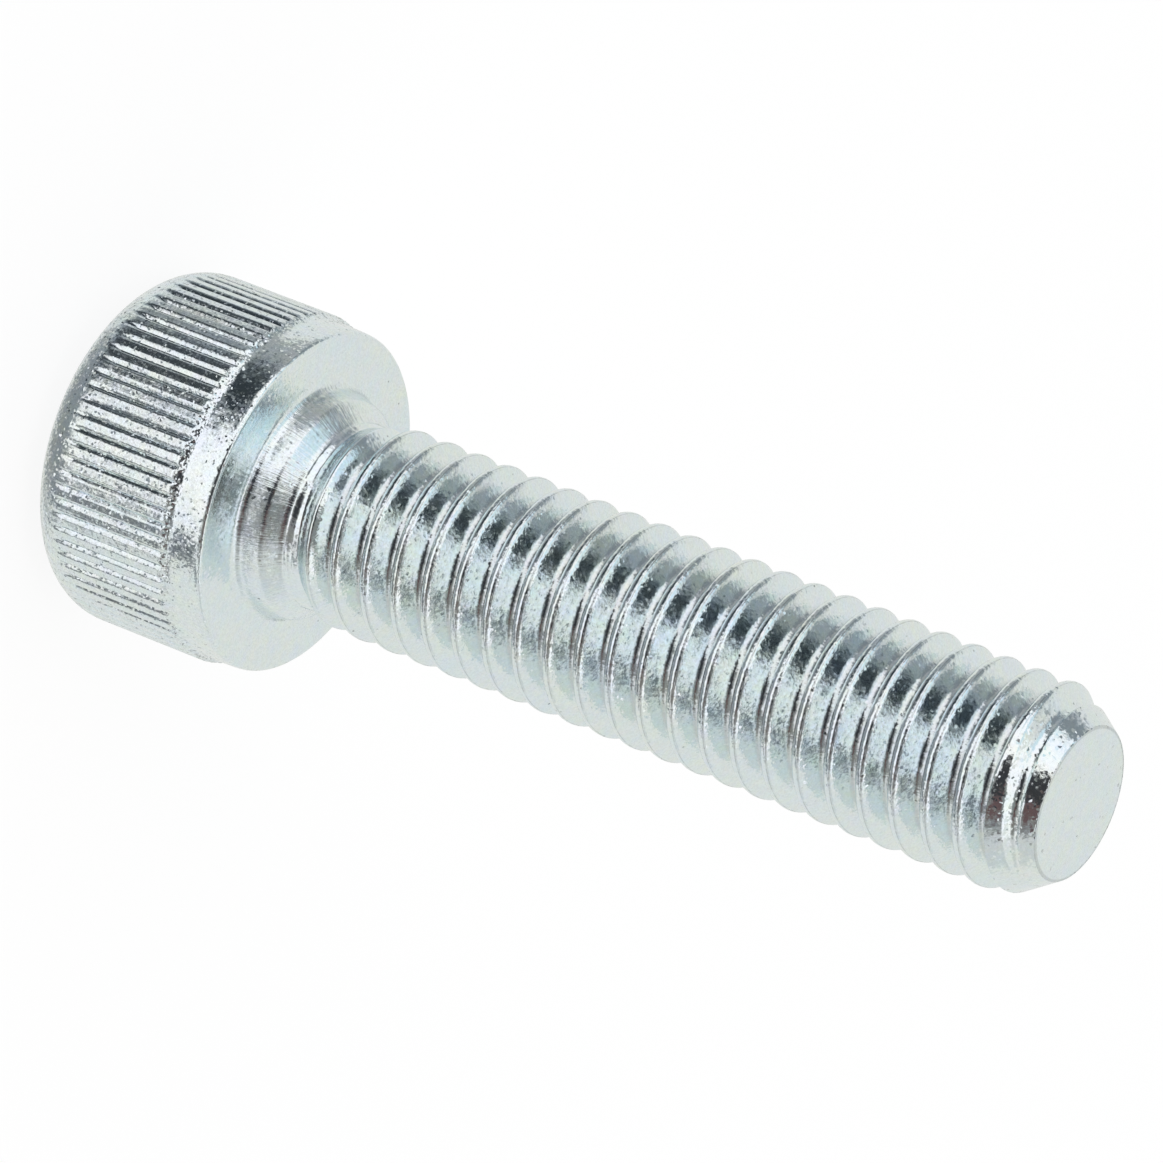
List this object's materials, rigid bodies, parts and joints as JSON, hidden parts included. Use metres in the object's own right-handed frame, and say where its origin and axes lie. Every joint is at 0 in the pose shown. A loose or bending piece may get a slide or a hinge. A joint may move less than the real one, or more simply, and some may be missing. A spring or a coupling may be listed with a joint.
{
  "type": "hex socket cap screw",
  "caption": "Cylindrical-head screw with a hex socket, a straight knurl round the head, a stepped collar under it and a metric thread up to a flat-ended point.",
  "frame": {"origin": "centre of the driving face, the flat top of the head, which the screw stands on", "axes": "+Z along the screw's axis, from the driving face to the tip; the bearing face under the head is at z = 6 mm and the tip at z = 31 mm"},
  "size_m": [0.01, 0.01, 0.031],
  "materials": {
    "zinc_plate": "bright zinc plate with a faint blue passivation, fine pits and specks"
  },
  "bodies": {
    "root": {"cap_screw": "zinc_plate"}
  },
  "joints": []
}
